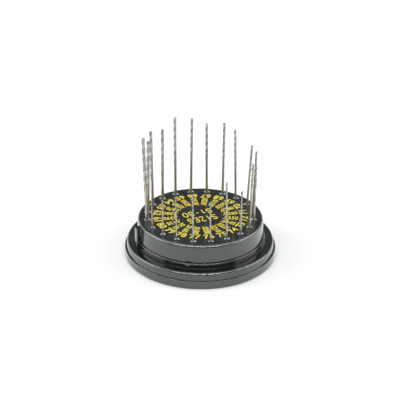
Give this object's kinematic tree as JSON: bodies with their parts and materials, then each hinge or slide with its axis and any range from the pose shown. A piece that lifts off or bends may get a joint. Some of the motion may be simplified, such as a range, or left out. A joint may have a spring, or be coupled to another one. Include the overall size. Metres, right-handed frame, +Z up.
{
  "type": "micro drill stand",
  "caption": "Round stepped plastic stand that holds a ring of small wire gauge twist drills, points up, each loose in its own hole, with a size legend on top.",
  "frame": {"origin": "centre of the base, on the table", "axes": "+Z up along the stand's axis, -Y towards the front, where the lid detent is"},
  "size_m": [0.0462, 0.0462, 0.0395],
  "materials": {
    "black_plastic": "moulded black, satin gloss",
    "drill_steel": "ground bright steel",
    "legend_gold": "hot stamped gold foil"
  },
  "bodies": {
    "stand": {"drum": "black_plastic", "shoulder_ring": "black_plastic", "key_rib": "black_plastic", "base_cover": "black_plastic"},
    "drill_61": {"drill_61": "drill_steel"},
    "drill_62": {"drill_62": "drill_steel"},
    "drill_63": {"drill_63": "drill_steel"},
    "drill_64": {"drill_64": "drill_steel"},
    "drill_65": {"drill_65": "drill_steel"},
    "drill_66": {"drill_66": "drill_steel"},
    "drill_67": {"drill_67": "drill_steel"},
    "drill_68": {"drill_68": "drill_steel"},
    "drill_69": {"drill_69": "drill_steel"},
    "drill_70": {"drill_70": "drill_steel"},
    "drill_71": {"drill_71": "drill_steel"},
    "drill_72": {"drill_72": "drill_steel"},
    "drill_73": {"drill_73": "drill_steel"},
    "drill_74": {"drill_74": "drill_steel"},
    "drill_75": {"drill_75": "drill_steel"},
    "drill_76": {"drill_76": "drill_steel"},
    "drill_77": {"drill_77": "drill_steel"},
    "drill_78": {"drill_78": "drill_steel"},
    "drill_79": {"drill_79": "drill_steel"},
    "drill_80": {"drill_80": "drill_steel"}
  },
  "joints": [
    {"name": "drill_61_slide", "type": "slide", "parent": "stand", "child": "drill_61", "axis": [-0.038, 0, 0.9993], "range_m": [0, 0.01165]},
    {"name": "drill_62_slide", "type": "slide", "parent": "stand", "child": "drill_62", "axis": [0.0095, 0, 1], "range_m": [0, 0.01165]},
    {"name": "drill_63_slide", "type": "slide", "parent": "stand", "child": "drill_63", "axis": [-0.019, 0, 0.9998], "range_m": [0, 0.01165]},
    {"name": "drill_64_slide", "type": "slide", "parent": "stand", "child": "drill_64", "axis": [0, 0, 1], "range_m": [0, 0.01165]},
    {"name": "drill_65_slide", "type": "slide", "parent": "stand", "child": "drill_65", "axis": [-0.0095, 0, 1], "range_m": [0, 0.01165]},
    {"name": "drill_66_slide", "type": "slide", "parent": "stand", "child": "drill_66", "axis": [0.0048, 0, 1], "range_m": [0, 0.01165]},
    {"name": "drill_67_slide", "type": "slide", "parent": "stand", "child": "drill_67", "axis": [-0.0143, 0, 0.9999], "range_m": [0, 0.01165]},
    {"name": "drill_68_slide", "type": "slide", "parent": "stand", "child": "drill_68", "axis": [0.0048, 0, 1], "range_m": [0, 0.01165]},
    {"name": "drill_69_slide", "type": "slide", "parent": "stand", "child": "drill_69", "axis": [-0.0285, 0, 0.9996], "range_m": [0, 0.01165]},
    {"name": "drill_70_slide", "type": "slide", "parent": "stand", "child": "drill_70", "axis": [0.0475, 0, 0.9989], "range_m": [0, 0.01165]},
    {"name": "drill_71_slide", "type": "slide", "parent": "stand", "child": "drill_71", "axis": [0.0238, 0, 0.9997], "range_m": [0, 0.01165]},
    {"name": "drill_72_slide", "type": "slide", "parent": "stand", "child": "drill_72", "axis": [0.0143, 0, 0.9999], "range_m": [0, 0.01165]},
    {"name": "drill_73_slide", "type": "slide", "parent": "stand", "child": "drill_73", "axis": [0.019, 0, 0.9998], "range_m": [0, 0.01165]},
    {"name": "drill_74_slide", "type": "slide", "parent": "stand", "child": "drill_74", "axis": [0.0095, 0, 1], "range_m": [0, 0.01165]},
    {"name": "drill_75_slide", "type": "slide", "parent": "stand", "child": "drill_75", "axis": [-0.019, 0, 0.9998], "range_m": [0, 0.01165]},
    {"name": "drill_76_slide", "type": "slide", "parent": "stand", "child": "drill_76", "axis": [-0.019, 0, 0.9998], "range_m": [0, 0.01165]},
    {"name": "drill_77_slide", "type": "slide", "parent": "stand", "child": "drill_77", "axis": [-0.019, 0, 0.9998], "range_m": [0, 0.01165]},
    {"name": "drill_78_slide", "type": "slide", "parent": "stand", "child": "drill_78", "axis": [-0.0238, 0, 0.9997], "range_m": [0, 0.01165]},
    {"name": "drill_79_slide", "type": "slide", "parent": "stand", "child": "drill_79", "axis": [-0.0095, 0, 1], "range_m": [0, 0.01165]},
    {"name": "drill_80_slide", "type": "slide", "parent": "stand", "child": "drill_80", "axis": [-0.0238, 0, 0.9997], "range_m": [0, 0.01165]}
  ]
}
